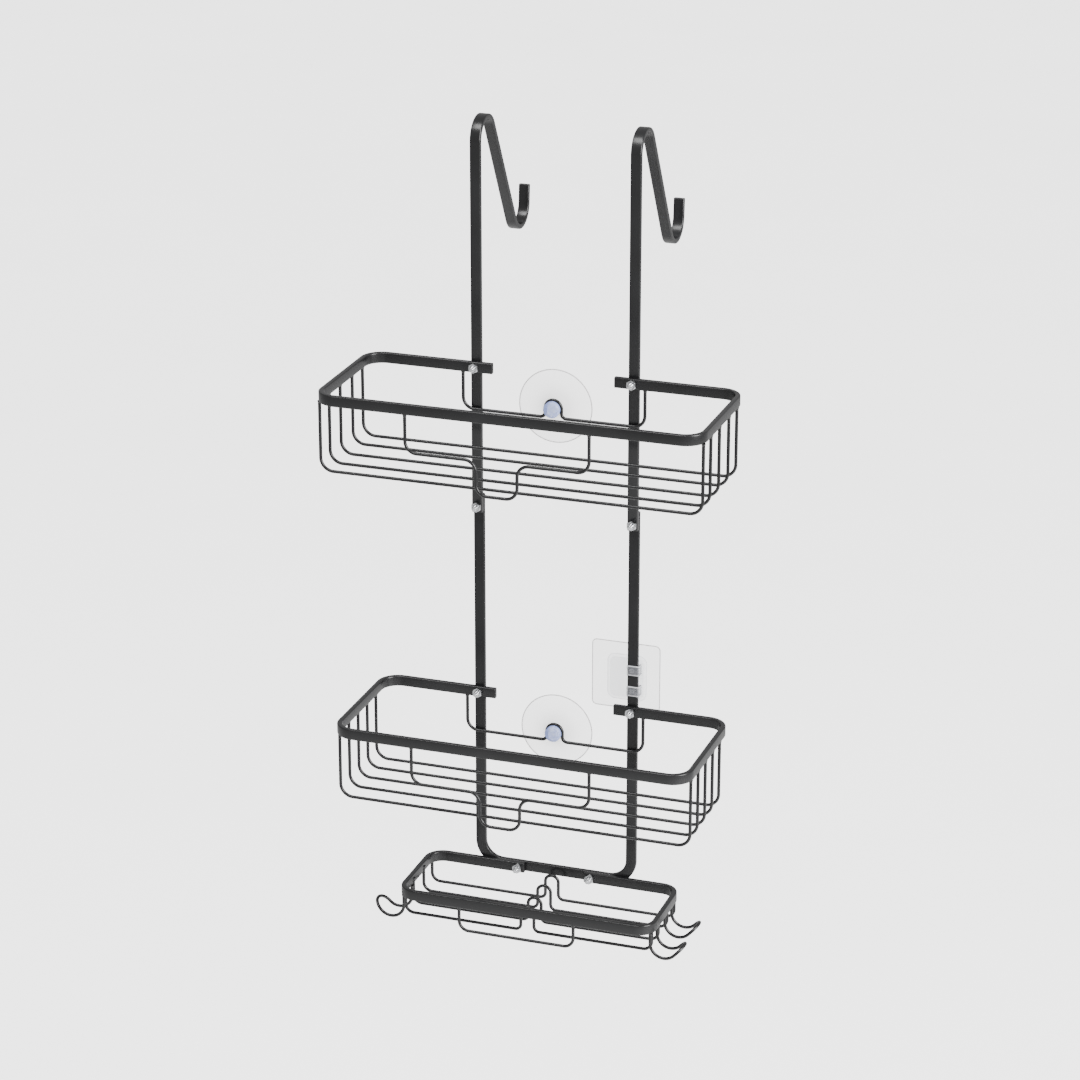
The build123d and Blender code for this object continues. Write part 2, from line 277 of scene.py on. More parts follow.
coat, coat_end = node_group("satin_black_coat", (
    ("Tone", "NodeSocketColor"), ("Gloss", "NodeSocketFloat"), ("Ripple", "NodeSocketFloat")))
place = coat.nodes.new("ShaderNodeTexCoord")
drift = noise(coat, 28, 3, place)
peel = noise(coat, 900, 2, place)
speck = noise(coat, 3200, 1, place)
share = ramp(coat, drift.outputs["Fac"], 0, 1)
tone = tint(coat, share.outputs["Result"], (0.0065, 0.0065, 0.007), (0.010, 0.010, 0.011))
gloss = ramp(coat, drift.outputs["Fac"], 0.25, 0.33)
height = coat.nodes.new("ShaderNodeMath")
height.operation = "MULTIPLY_ADD"
height.inputs[1].default_value = 0.25
coat.links.new(speck.outputs["Fac"], height.inputs[0])
coat.links.new(peel.outputs["Fac"], height.inputs[2])
coat.links.new(tone.outputs["Result"], coat_end.inputs["Tone"])
coat.links.new(gloss.outputs["Result"], coat_end.inputs["Gloss"])
coat.links.new(height.outputs["Value"], coat_end.inputs["Ripple"])


def material_with(name, group, links, bump_from=None, bump_strength=0.2, bump_distance=0.0001, **constants):
    """A Principled material fed by a node group."""
    made = bpy.data.materials.new(name)
    made.use_nodes = True
    tree = made.node_tree
    shader = tree.nodes["Principled BSDF"]
    effect = tree.nodes.new("ShaderNodeGroup")
    effect.node_tree = group
    for output, target in links.items():
        tree.links.new(effect.outputs[output], shader.inputs[target])
    if bump_from:
        bump = tree.nodes.new("ShaderNodeBump")
        bump.inputs["Strength"].default_value = bump_strength
        bump.inputs["Distance"].default_value = bump_distance
        tree.links.new(effect.outputs[bump_from], bump.inputs["Height"])
        tree.links.new(bump.outputs["Normal"], shader.inputs["Normal"])
    for socket, value in constants.items():
        shader.inputs[socket.replace("_", " ")].default_value = value
    return made, shader, tree


black, _, _ = material_with(
    "satin_black_coating", coat, {"Tone": "Base Color", "Gloss": "Roughness"},
    bump_from="Ripple", bump_strength=0.25, bump_distance=0.00005,
    Metallic=0.0, Specular_IOR_Level=0.5, Coat_Weight=0.15, Coat_Roughness=0.2)
print("black coating:", black.name)


# %% [markdown]
# ## Bright zinc
# The screws and nuts are zinc plated and clear passivated. Plating copies the cold-headed
# surface beneath it, so it is bright but not a mirror, with a slight mottling in tone.

# %% Zinc plate
zinc_group, zinc_end = node_group("zinc_plate_finish", (
    ("Tone", "NodeSocketColor"), ("Gloss", "NodeSocketFloat"), ("Grain", "NodeSocketFloat")))
place = zinc_group.nodes.new("ShaderNodeTexCoord")
mottle = noise(zinc_group, 700, 4, place)
grain = noise(zinc_group, 4000, 2, place)
share = ramp(zinc_group, mottle.outputs["Fac"], 0, 1)
tone = tint(zinc_group, share.outputs["Result"], (0.60, 0.61, 0.63), (0.80, 0.81, 0.82))
gloss = ramp(zinc_group, mottle.outputs["Fac"], 0.10, 0.22)
zinc_group.links.new(tone.outputs["Result"], zinc_end.inputs["Tone"])
zinc_group.links.new(gloss.outputs["Result"], zinc_end.inputs["Gloss"])
zinc_group.links.new(grain.outputs["Fac"], zinc_end.inputs["Grain"])
zinc, _, _ = material_with(
    "bright_zinc_plate", zinc_group, {"Tone": "Base Color", "Gloss": "Roughness"},
    bump_from="Grain", bump_strength=0.15, bump_distance=0.00003, Metallic=1.0)
print("zinc plate:", zinc.name)


# %% [markdown]
# ## Clear plastics
# The cups are soft clear PVC, the clip a clear moulding and the pad a clear adhesive film. Each
# is almost invisible seen square on and shows as a grey line where the surface turns away, since
# there the sight line runs through much more plastic. Opacity therefore follows the angle of
# view, from a low value facing the eye to a high one at the edges.

# %% Clear plastics
def clear_plastic(name, dark, light, facing, edge, roughness, blend=0.35):
    group, end = node_group(name + "_body", (
        ("Tone", "NodeSocketColor"), ("Gloss", "NodeSocketFloat"), ("Wave", "NodeSocketFloat")))
    spot = group.nodes.new("ShaderNodeTexCoord")
    cloud = noise(group, 90, 3, spot)
    wave = noise(group, 260, 2, spot)
    colour = tint(group, ramp(group, cloud.outputs["Fac"], 0, 1).outputs["Result"], dark, light)
    shine = ramp(group, cloud.outputs["Fac"], roughness * 0.8, roughness * 1.25)
    group.links.new(colour.outputs["Result"], end.inputs["Tone"])
    group.links.new(shine.outputs["Result"], end.inputs["Gloss"])
    group.links.new(wave.outputs["Fac"], end.inputs["Wave"])
    made, shader, tree = material_with(
        name, group, {"Tone": "Base Color", "Gloss": "Roughness"},
        bump_from="Wave", bump_strength=0.12, bump_distance=0.0002,
        Metallic=0.0, IOR=1.45)
    weight = tree.nodes.new("ShaderNodeLayerWeight")
    weight.inputs["Blend"].default_value = blend
    alpha = tree.nodes.new("ShaderNodeMapRange")
    alpha.inputs["To Min"].default_value = facing
    alpha.inputs["To Max"].default_value = edge
    tree.links.new(weight.outputs["Facing"], alpha.inputs["Value"])
    depth = tree.nodes.new("ShaderNodeAttribute")
    depth.attribute_name = "thickness"
    total = tree.nodes.new("ShaderNodeMath")
    total.operation = "MULTIPLY_ADD"
    total.use_clamp = True
    total.inputs[1].default_value = 0.35
    tree.links.new(depth.outputs["Fac"], total.inputs[0])
    tree.links.new(alpha.outputs["Result"], total.inputs[2])
    tree.links.new(total.outputs["Value"], shader.inputs["Alpha"])
    return made


def thicken(piece, amount):
    """Stores how thick the plastic is at each vertex, 0 to 1, as the amount function says."""
    layer = piece.data.attributes.new("thickness", "FLOAT", "POINT")
    layer.data.foreach_set("value", [amount(v.co) for v in piece.data.vertices])


cup_clear = clear_plastic("clear_pvc_cup", (0.50, 0.48, 0.49), (0.58, 0.56, 0.57), 0.035, 0.9, 0.12, 0.2)
cup_blue = clear_plastic("clear_pvc_knob", (0.42, 0.52, 0.98), (0.50, 0.60, 1.0), 0.58, 0.92, 0.15, 0.40)
clip_clear = clear_plastic(
    "clear_clip_moulding", (0.70, 0.76, 0.86), (0.80, 0.85, 0.94), 0.05, 0.8, 0.10, 0.3)
film_clear = clear_plastic("clear_film", (0.56, 0.50, 0.51), (0.62, 0.56, 0.57), 0.03, 0.9, 0.18, 0.3)
# painted edge shade: darker, more opaque clear plastic for the thin beads that draw the dark line along
# clear edges
painted_edge_shade = clear_plastic("painted_edge_shade_line", (0.34, 0.29, 0.30), (0.40, 0.35, 0.36), 0.40, 0.75, 0.2, 0.4)
lip_clear = clear_plastic(
    "clear_clip_lip", (0.40, 0.41, 0.44), (0.48, 0.49, 0.52), 0.20, 0.8, 0.12, 0.35)
print("clear plastics: 6")


# %% [markdown]
# ## Hooks
# Each hook is one length of flat bar. It runs up the front, turns 151 degrees over the door on a
# 16 mm die, comes down as a limb that stands clear of the door, and turns up again into a towel
# hook. It is swept in the plane of its own upright, wide face forwards.

# %% Hook bars
LIMB_ANGLE = 29.0
TIP_LEAN = 4.0
HOOK_BEND = 16.0 * MM
TIP_LENGTH = 14.0 * MM
LIMB_LENGTH = 100.7 * MM


def turning_line(start, heading, moves):
    """Points of a path in the YZ plane. Each move is (length,) or (radius, turn in degrees)."""
    x, y, z = start
    line = [Vector(start)]
    angle = heading
    for move in moves:
        if len(move) == 1:
            y += move[0] * cos(angle)
            z += move[0] * sin(angle)
            line.append(Vector((x, y, z)))
            continue
        radius, turn = move[0], radians(move[1])
        sign = 1 if turn > 0 else -1
        count = max(4, ceil(abs(turn) / radians(4)))
        cy = y - sign * radius * sin(angle)
        cz = z + sign * radius * cos(angle)
        for i in range(1, count + 1):
            a = angle + turn * i / count
            line.append(Vector((x, cy + sign * radius * sin(a), cz - sign * radius * cos(a))))
        angle += turn
        y, z = line[-1].y, line[-1].z
    return line


for side in ("left", "right"):
    node = f"hook_bar_{side}"
    low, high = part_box(node)
    x = (low[0] + high[0]) / 2
    upright_y = low[1] + BAR_THICK / 2
    rise = high[2] - BAR_THICK / 2 - HOOK_BEND - low[2]
    under_turn = 180 - LIMB_ANGLE - TIP_LEAN
    line = turning_line((x, upright_y, low[2]), pi / 2, (
        (rise,), (HOOK_BEND, LIMB_ANGLE - 180), (LIMB_LENGTH,), (HOOK_BEND, under_turn), (TIP_LENGTH,)))
    mesh = bmesh.new()
    sweep(mesh, line, bar_section(), (1, 0, 0), 0.5 * MM)
    piece = finish_piece(node + "_bar", mesh, black, "frame", [node])
    print(node, "points", len(line), "tip at", [round(1000 * c, 1) for c in line[-1]])


# %% [markdown]
# ## Lower frame
# One bar bent on edge into a U. It laps behind the feet of the hooks and takes the lower basket
# and the tray on its front face.

# %% Lower frame
low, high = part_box("lower_frame")
half = BAR_WIDTH / 2
y = (low[1] + high[1]) / 2
mesh = bmesh.new()
left, right, foot = low[0] + half, high[0] - half, low[2] + half
corners = [(left, y, high[2]), (left, y, foot), (right, y, foot), (right, y, high[2])]
sweep(mesh, bent_path(corners, [18.2 * MM] * 2, radians(4)), bar_section(), (1, 0, 0), 0.5 * MM)
finish_piece("lower_frame_bar", mesh, black, "frame", ["lower_frame"])
print("lower frame height mm:", round(1000 * (high[2] - low[2]), 1))


# %% [markdown]
# ## Rims
# The rim is the same bar with its wide face upright, bent into a rounded rectangle whose ends
# stop short of each other at the back, behind which the uprights pass.

# %% Rims
RIMS = {"upper_basket_rim": (15.0, 48.5), "lower_basket_rim": (15.0, 48.5),
        "soap_tray_rim": (13.0, 25.0)}
for node, (corner, gap) in RIMS.items():
    low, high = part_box(node)
    inset = BAR_THICK / 2
    z = (low[2] + high[2]) / 2
    left, right, front, back = low[0] + inset, high[0] - inset, low[1] + inset, high[1] - inset
    corners = [(-gap * MM, back, z), (left, back, z), (left, front, z), (right, front, z),
               (right, back, z), (gap * MM, back, z)]
    mesh = bmesh.new()
    sweep(mesh, bent_path(corners, [corner * MM] * 4, radians(4)), bar_section(), (0, 0, 1), 0.5 * MM)
    finish_piece(node + "_bar", mesh, black, "frame", [node])
    print(node, "mm:", [round(1000 * (b - a), 1) for a, b in zip(low, high)])


# %% [markdown]
# ## Wires
# Every floor wire, guard wire and back wire lies in one upright plane, so its corner list can be
# read off its CAD box. Their ends are butt welded under the rim, and each weld leaves a small
# bead that the coating softens, so each end gets a short flared collar.

# %% Basket and tray wires
def weld_collar(mesh, x, y, z):
    """A weld bead round a wire that meets the underside of a bar at height z."""
    profile = [(0, z), (1.68 * MM, z), (1.66 * MM, z - 0.25 * MM), (1.52 * MM, z - 0.6 * MM),
               (1.42 * MM, z - 1.1 * MM), (1.31 * MM, z - 1.8 * MM), (1.2 * MM, z - 1.9 * MM),
               (0, z - 1.9 * MM)]
    count = 20
    rings = []
    for radius, level in profile[1:-1]:
        rings.append([mesh.verts.new((x + radius * cos(2 * pi * i / count),
                                      y + radius * sin(2 * pi * i / count), level)) for i in range(count)])
    for a, b in zip(rings, rings[1:]):
        for i in range(count):
            j = (i + 1) % count
            mesh.faces.new((a[i], b[i], b[j], a[j]))
    mesh.faces.new(rings[0])
    mesh.faces.new(list(reversed(rings[-1])))


def wire_piece(node, corners, radii, ends):
    mesh = bmesh.new()
    sweep(mesh, bent_path(corners, radii), round_section(), (0, 1, 0), 0.15 * MM)
    for x, y, z in ends:
        weld_collar(mesh, x, y, z)
    return finish_piece(node + "_bent", mesh, black, "frame", [node])


def across(node):
    """Leg x, plane y, top z and floor z of a wire's centre line, from its box."""
    low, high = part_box(node)
    return low[0] + WIRE, high[0] - WIRE, (low[1] + high[1]) / 2, high[2], low[2] + WIRE


wire_count = 0
for basket in ("upper", "lower"):
    for number in range(1, 6):
        node = f"{basket}_basket_wire_{number}"
        left, right, y, top, floor = across(node)
        wire_piece(node, [(left, y, top), (left, y, floor), (right, y, floor), (right, y, top)],
                   [10 * MM] * 2, [(left, y, top), (right, y, top)])
        wire_count += 1
    node = f"{basket}_front_wire"
    left, right, y, top, dip = across(node)
    middle = (left + right) / 2
    level = dip + 27 * MM
    a, b = middle - 16 * MM, middle + 16 * MM
    corners = [(left, y, top), (left, y, level), (a, y, level), (a, y, dip),
               (b, y, dip), (b, y, level), (right, y, level), (right, y, top)]
    wire_piece(node, corners, [9 * MM] * 6, [corners[0], corners[-1]])
    node = f"{basket}_back_wire"
    left, right, y, top, level = across(node)
    arch = level + 14 * MM
    h = 6.4 * MM
    corners = [(left, y, top), (left, y, level), (-h, y, level), (-h, y, arch),
               (h, y, arch), (h, y, level), (right, y, level), (right, y, top)]
    crown = h - 0.05 * MM
    wire_piece(node, corners, [9 * MM, 4 * MM, crown, crown, 4 * MM, 9 * MM], [corners[0], corners[-1]])
    wire_count += 2
for number in range(1, 5):
    node = f"soap_tray_wire_{number}"
    left, right, y, top, floor = across(node)
    hump = floor + 20 * MM
    h = 5.4 * MM
    corners = [(left, y, top), (left, y, floor), (-h, y, floor), (-h, y, hump),
               (h, y, hump), (h, y, floor), (right, y, floor), (right, y, top)]
    crown = h - 0.05 * MM
    wire_piece(node, corners, [7 * MM, 4.5 * MM, crown, crown, 4.5 * MM, 7 * MM],
               [corners[0], corners[-1]])
    wire_count += 1
left, right, y, top, floor = across("soap_tray_front_wire")
wire_piece("soap_tray_front_wire", [(left, y, top), (left, y, floor), (right, y, floor), (right, y, top)],
           [8 * MM] * 2, [(left, y, top), (right, y, top)])
print("wires:", wire_count + 1)


# %% [markdown]
# ## Side hooks
# Each is one wire folded into a hairpin, and then rolled outwards at its closed end into a hook.
# The roll is an arc in the XZ plane and the closed end is an arc in the plane it has been tilted
# into, so the two halves stay parallel.

# %% Side hooks
CURL = 11.0 * MM
CURL_ANGLE = radians(45)
HAIRPIN = 9.0 * MM
for name, side, places in (("left", -1, ("front",)), ("right", 1, ("back", "front"))):
    for place in places:
        node = f"side_hook_{name}_{place}"
        low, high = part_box(node)
        leg = (high[0] - WIRE) if side < 0 else (low[0] + WIRE)
        near, far = low[1] + WIRE, high[1] - WIRE
        middle = (near + far) / 2
        top = high[2]
        curl_z = low[2] + WIRE + CURL

        def curl(angle, at_y):
            return Vector((leg + side * CURL * (1 + sin(angle)), at_y, curl_z - CURL * cos(angle)))

        steps = 24
        angles = [-pi / 2 + (pi / 2 + CURL_ANGLE) * i / steps for i in range(steps + 1)]
        line = [Vector((leg, near, top))] + [curl(a, near) for a in angles]
        end = curl(CURL_ANGLE, middle)
        outward = Vector((side * cos(CURL_ANGLE), 0, sin(CURL_ANGLE)))
        for i in range(1, 30):
            a = -pi / 2 + pi * i / 30
            line.append(end + outward * HAIRPIN * cos(a) + Vector((0, HAIRPIN * sin(a), 0)))
        line += [curl(a, far) for a in reversed(angles)] + [Vector((leg, far, top))]
        mesh = bmesh.new()
        sweep(mesh, line, round_section(), (0, 1, 0), 0.15 * MM)
        weld_collar(mesh, leg, near, top)
        weld_collar(mesh, leg, far, top)
        finish_piece(node + "_bent", mesh, black, "frame", [node])
print("side hooks: 3")


# %% [markdown]
# ## Screws
# M4 machine screws with low pan heads: cold headed, then thread rolled. The head is a revolved
# profile with a cross recess cut into it. The thread is a true helix: round each ring the
# radius rises and falls with the height above the crest line, once each 0.7 mm.

# %% Screws
def cross_recess(mesh, back):
    """A tapered four-armed recess cutter, deepest in the middle."""
    for arm in (0, 1):
        long_top, wide_top = 1.95 * MM, 0.46 * MM
        long_end, wide_end = 0.7 * MM, 0.34 * MM
        ring = []
        mouth = (back + 0.3 * MM, long_top, wide_top)
        bottom = (back - 1.25 * MM, long_end, wide_end)
        for y, length, width in (mouth, bottom):
            box = [(length, width), (-length, width), (-length, -width), (length, -width)]
            if arm:
                box = [(-v, u) for u, v in box]
            ring.append([mesh.verts.new((u, y, v)) for u, v in box])
        a, b = ring
        for i in range(4):
            j = (i + 1) % 4
            mesh.faces.new((a[i], a[j], b[j], b[i]))
        mesh.faces.new(list(reversed(a)))
        mesh.faces.new(b)


def screw_data(length, head_height):
    """One screw about Y, its head's bearing face at y = 0 and its shank towards -Y."""
    mesh = bmesh.new()
    back = head_height
    profile = [(0, back), (1.2 * MM, back), (2.6 * MM, back - 0.15 * MM), (3.2 * MM, back - 0.55 * MM),
               (3.5 * MM, back - 1.2 * MM), (3.5 * MM, 0.15 * MM), (3.35 * MM, 0), (0, 0)]
    rounds = [0.4 * MM, 1.2 * MM, 1.0 * MM, 0.5 * MM, 0.05 * MM, 0.05 * MM]
    revolve(mesh, smooth_profile(profile, rounds), (0, 0), 48)
    bmesh.ops.recalc_face_normals(mesh, faces=mesh.faces)
    head = bpy.data.meshes.new("screw_head")
    mesh.to_mesh(head)
    mesh.free()
    cutter_mesh = bmesh.new()
    cross_recess(cutter_mesh, back)
    bmesh.ops.recalc_face_normals(cutter_mesh, faces=cutter_mesh.faces)
    cutter_data = bpy.data.meshes.new("recess")
    cutter_mesh.to_mesh(cutter_data)
    cutter_mesh.free()
    head_object = bpy.data.objects.new("screw_head", head)
    cutter = bpy.data.objects.new("recess", cutter_data)
    for o in (head_object, cutter):
        bpy.context.scene.collection.objects.link(o)
    cut = head_object.modifiers.new("recess", "BOOLEAN")
    cut.operation = "DIFFERENCE"
    cut.solver = "EXACT"
    cut.use_self = True
    cut.object = cutter
    graph = bpy.context.evaluated_depsgraph_get()
    made = bpy.data.meshes.new_from_object(head_object.evaluated_get(graph))
    for o in (head_object, cutter):
        bpy.data.objects.remove(o)
    mesh = bmesh.new()
    mesh.from_mesh(made)
    pitch, root, crest = 0.7 * MM, 1.62 * MM, 2.0 * MM
    count = 28
    rows = int(length / (pitch / 7))
    rings = []
    for row in range(rows + 1):
        y = -length * row / rows
        shape = max(0.0, min(1.0, (length + y) / (0.7 * MM)))
        ring = []
        for i in range(count):
            phase = (-y / pitch + i / count) % 1.0
            tooth = min(1.0, max(0.0, 1.35 - abs(phase - 0.5) * 3.6))
            radius = (root + (crest - root) * tooth) * (0.72 + 0.28 * shape)
            a = 2 * pi * i / count
            ring.append(mesh.verts.new((radius * cos(a), y, radius * sin(a))))
        rings.append(ring)
    for a, b in zip(rings, rings[1:]):
        for i in range(count):
            j = (i + 1) % count
            mesh.faces.new((a[i], a[j], b[j], b[i]))
    mesh.faces.new(rings[0])
    mesh.faces.new(list(reversed(rings[-1])))
    bmesh.ops.recalc_face_normals(mesh, faces=mesh.faces)
    made.clear_geometry()
    mesh.to_mesh(made)
    mesh.free()
    return made


SCREWED = ("upper_basket", "frame_lap", "lower_basket", "soap_tray")
low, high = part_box("frame_lap_screw_left")
head_height = 2.0 * MM
screw = screw_data(high[1] - low[1] - head_height, head_height)
for joint in SCREWED:
    for side in ("left", "right"):
        node = f"{joint}_screw_{side}"
        low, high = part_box(node)
        mesh = bmesh.new()
        mesh.from_mesh(screw)
        middle = Vector(((low[0] + high[0]) / 2, high[1] - head_height, (low[2] + high[2]) / 2))
        bmesh.ops.translate(mesh, verts=mesh.verts, vec=middle)
        finish_piece(node + "_turned", mesh, zinc, "frame", [node], sharp=35)
print("screw length mm:", round(1000 * (high[1] - low[1]), 1), "faces", len(screw.polygons))


# %% [markdown]
# ## Nuts
# A hexagon nut is turned to a 30 degree chamfer on both faces, and where that cone meets the six
# flats it leaves the curved scallops that make a nut look like one. Working in polar form gives
# them exactly: the outside radius follows the hexagon and the height follows the cone.

# %% Nuts
def nut_mesh(centre, front, back, flats, bore=2.0 * MM, count=96):
    mesh = bmesh.new()
    chamfer_from = flats / 2 * 0.93
    lead_in = bore + 0.35 * MM
    rings = {}
    levels = ("bore_front", "lead_front", "face_front", "edge_front",
              "edge_back", "face_back", "lead_back", "bore_back")
    for level in levels:
        rings[level] = []
    for i in range(count):
        a = 2 * pi * i / count
        nearest = round(a / (pi / 3)) * pi / 3
        radius = flats / 2 / cos(a - nearest)
        drop = (radius - chamfer_from) * tan(radians(30))
        spots = {
            "bore_front": (bore, front + 0.3 * MM), "lead_front": (lead_in, front),
            "face_front": (chamfer_from, front),
            "edge_front": (radius, front + drop), "edge_back": (radius, back - drop),
            "face_back": (chamfer_from, back), "lead_back": (lead_in, back),
            "bore_back": (bore, back - 0.3 * MM)}
        for level, (r, y) in spots.items():
            rings[level].append(mesh.verts.new((centre[0] + r * cos(a), y, centre[1] + r * sin(a))))
    order = [rings[level] for level in levels]
    for a, b in zip(order, order[1:] + order[:1]):
        for i in range(count):
            j = (i + 1) % count
            mesh.faces.new((a[i], a[j], b[j], b[i]))
    return mesh


for joint in SCREWED:
    for side in ("left", "right"):
        node = f"{joint}_nut_{side}"
        low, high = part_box(node)
        centre = ((low[0] + high[0]) / 2, (low[2] + high[2]) / 2)
        mesh = nut_mesh(centre, low[1], high[1], high[0] - low[0])
        finish_piece(node + "_hex", mesh, zinc, "frame", [node], sharp=25)
print("nuts:", 2 * len(SCREWED), "across flats mm:", round(1000 * (high[0] - low[0]), 1))


# %% [markdown]
# ## Suction cups
# A cup is one soft moulding: a knob before the wire, a waist that snaps into the wire's arch,
# and a thin bell behind. Plastic that thick looks blue at the knob, while the bell is only a
# grey tint with a darker line at its rim. So the moulding is made as three pieces, the knob
# with its waist, the bell, and a round bead inside the bell's rim, each with its own depth of
# colour. The bead is painted edge shade: darker plastic that draws the line the clear rim
# shows where it bends the light.

# %% Suction cups
THICK_HUB = 22 * MM
for basket in ("upper", "lower"):
    node = f"{basket}_suction_cup"
    low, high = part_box(node)
    centre = ((low[0] + high[0]) / 2, (low[2] + high[2]) / 2)
    radius = (high[0] - low[0]) / 2
    wire_y = low[1] + 7.0 * MM
    rim = high[1]
    front = wire_y - WIRE - 0.5 * MM
    behind = wire_y + WIRE + 0.5 * MM
    knob = [(0, low[1]), (3.0 * MM, low[1]), (6.4 * MM, low[1] + 1.0 * MM), (6.4 * MM, front),
            (4.7 * MM, front), (4.7 * MM, behind), (0, behind)]
    mesh = bmesh.new()
    revolve(mesh, smooth_profile(knob, [0.6 * MM, 1.4 * MM, 0.8 * MM, 0.3 * MM, 0.1 * MM]), centre)
    finish_piece(f"{basket}_cup_knob", mesh, cup_blue, f"{basket}_cup", (), sharp=60)
    bell = [(0, behind), (7.0 * MM, behind), (10.5 * MM, behind + 1.5 * MM),
            (20.0 * MM, behind + 2.3 * MM), (radius - 1.0 * MM, rim - 1.0 * MM),
            (radius, rim - 0.7 * MM), (radius, rim),
            (radius - 1.0 * MM, rim), (radius - 2.2 * MM, rim - 0.3 * MM), (16.0 * MM, rim - 1.6 * MM),
            (6.0 * MM, rim - 2.7 * MM), (0, rim - 2.8 * MM)]
    rounds = [0.8 * MM, 2 * MM, 12 * MM, 1 * MM, 0.25 * MM, 0.25 * MM, 0.3 * MM, 0.6 * MM,
              12 * MM, 8 * MM]
    mesh = bmesh.new()
    revolve(mesh, smooth_profile(bell, rounds), centre, 128)
    shell = finish_piece(
        f"{basket}_cup_bell", mesh, cup_clear, f"{basket}_cup", [node], sharp=70)
    hub = Vector((centre[0], 0, centre[1]))
    thicken(shell, lambda p: max(0.0, 1 - (Vector((p.x, 0, p.z)) - hub).length / THICK_HUB) ** 1.5)
    # the bead inside the rim is painted edge shade, a darker line along the clear rim
    line_radius = radius - 0.45 * MM
    ring = []
    for i in range(144):
        a = 2 * pi * i / 144
        ring.append(hub + Vector((line_radius * cos(a), rim - 0.45 * MM, line_radius * sin(a))))
    mesh = bmesh.new()
    closed_bead(mesh, ring, 0.4 * MM)
    finish_piece(f"{basket}_cup_rim_shade_line", mesh, painted_edge_shade, f"{basket}_cup", ())
    print(node, "diameter mm:", round(2000 * radius, 1), "depth mm:", round(1000 * (rim - low[1]), 1))


# %% [markdown]
# ## Wall clip and pad
# The pad is a square of clear film with an adhesive back. The clip is moulded on it: a raised
# plate with two lips that wrap the right upright loosely, so that the frame can slide in it.
# Each lip has a round ejector mark. Rounded slabs make the plates, and each lip is a hooked
# strip with softened edges. Clear plastic shows mostly at its edges, so a thin bead of darker
# plastic runs round the edge of the film as painted edge shade, and a near-white strip along
# the top and bottom edge of each lip is a painted highlight.

# %% Wall clip and pad
def slab(mesh, x0, x1, z0, z1, y0, y1, corner, edge):
    """A plate facing -Y, with round corners and a softened edge on both faces."""
    def outline(inset, y):
        ring = []
        for quarter, (cx, cz) in enumerate(((x1, z1), (x0, z1), (x0, z0), (x1, z0))):
            sx = -1 if cx == x1 else 1
            sz = -1 if cz == z1 else 1
            for i in range(9):
                a = (quarter + i / 8) * pi / 2
                r = corner - inset
                ring.append(mesh.verts.new(
                    (cx + sx * corner + r * cos(a), y, cz + sz * corner + r * sin(a))))
        return ring
    steps = 4
    rings = []
    for k in range(steps + 1):
        a = pi / 2 * k / steps
        rings.append(outline(edge * (1 - sin(a)), y0 + edge * (1 - cos(a))))
    for k in range(steps + 1):
        a = pi / 2 * k / steps
        rings.append(outline(edge * (1 - cos(a)), y1 - edge * (1 - sin(a))))
    count = len(rings[0])
    for a, b in zip(rings, rings[1:]):
        for i in range(count):
            j = (i + 1) % count
            mesh.faces.new((a[i], a[j], b[j], b[i]))
    mesh.faces.new(list(reversed(rings[0])))
    mesh.faces.new(rings[-1])


def rounded_loop(x0, x1, z0, z1, y, corner):
    """Points round a rectangle with round corners, facing Y."""
    loop = []
    for quarter, (cx, cz) in enumerate(((x1 - corner, z1 - corner), (x0 + corner, z1 - corner),
                                        (x0 + corner, z0 + corner), (x1 - corner, z0 + corner))):
        for i in range(9):
            a = (quarter + i / 8) * pi / 2
            loop.append(Vector((cx + corner * cos(a), y, cz + corner * sin(a))))
    return loop


low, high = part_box("wall_pad")
# the bead round the film is painted edge shade, a darker line along the clear edge
mesh = bmesh.new()
bead = 0.36 * MM
closed_bead(mesh, rounded_loop(low[0] + bead, high[0] - bead, low[2] + bead, high[2] - bead,
                               (low[1] + high[1]) / 2, 3.7 * MM), bead)
finish_piece("wall_pad_edge_shade_line", mesh, painted_edge_shade, "wall_clip", ())
mesh = bmesh.new()
slab(mesh, low[0], high[0], low[2], high[2], low[1], high[1], 4 * MM, 0.35 * MM)
finish_piece("wall_pad_film", mesh, film_clear, "wall_clip", ["wall_pad"])
print("pad mm:", [round(1000 * (b - a), 1) for a, b in zip(low, high)])

# painted highlight: near-white, nearly opaque strips stand in for the light caught along each lip's top and
# bottom edge
painted_highlight_edge = clear_plastic(
    "painted_highlight_lip_edge", (0.88, 0.88, 0.90), (0.94, 0.94, 0.96), 0.85, 0.95, 0.3, 0.4)
low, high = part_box("wall_clip")
plate_front = high[1] - 2.2 * MM
mesh = bmesh.new()
slab(mesh, low[0], high[0], low[2], high[2], plate_front, high[1], 6 * MM, 0.7 * MM)
slab(mesh, low[0] + 2.4 * MM, high[0] - 2.4 * MM, low[2] + 2.4 * MM, high[2] - 2.4 * MM,
     plate_front - 0.15 * MM, plate_front + 0.6 * MM, 4 * MM, 0.15 * MM)
finish_piece("wall_clip_plate", mesh, clip_clear, "wall_clip", ["wall_clip"])

